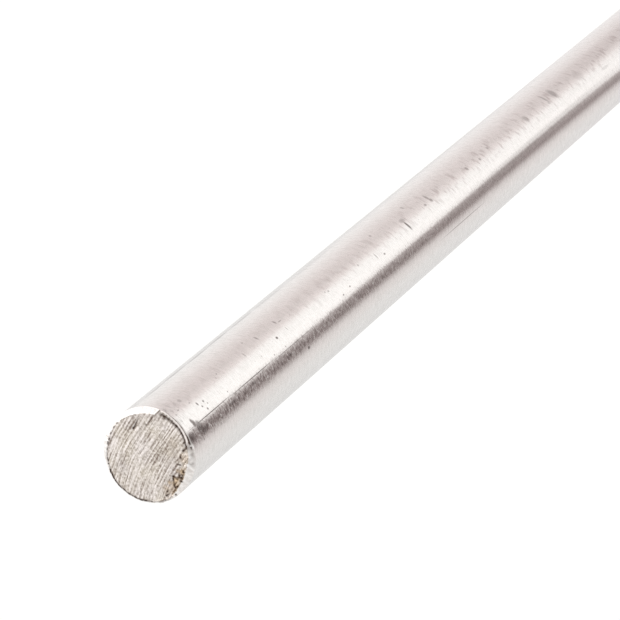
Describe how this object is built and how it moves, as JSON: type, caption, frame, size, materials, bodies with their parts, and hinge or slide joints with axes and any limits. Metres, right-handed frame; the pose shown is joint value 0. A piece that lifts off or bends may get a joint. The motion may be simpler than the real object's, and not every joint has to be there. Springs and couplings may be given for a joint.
{
  "type": "round metal bar",
  "caption": "Solid round bar of bright ground metal, with a square chamfered foot and a sawn end dressed with a file.",
  "frame": {"origin": "centre of the square foot, on the ground the bar stands on", "axes": "+Z along the bar, from the square foot to the sawn end at the top; +X and +Y across it, where the saw cut leaves the bar shortest near +X"},
  "size_m": [0.012, 0.012, 0.3],
  "materials": {
    "bright_metal": "bright, ground round the bar; fine abrasive streaks on the sawn end"
  },
  "bodies": {
    "root": {"round_bar": "bright_metal"}
  },
  "joints": []
}
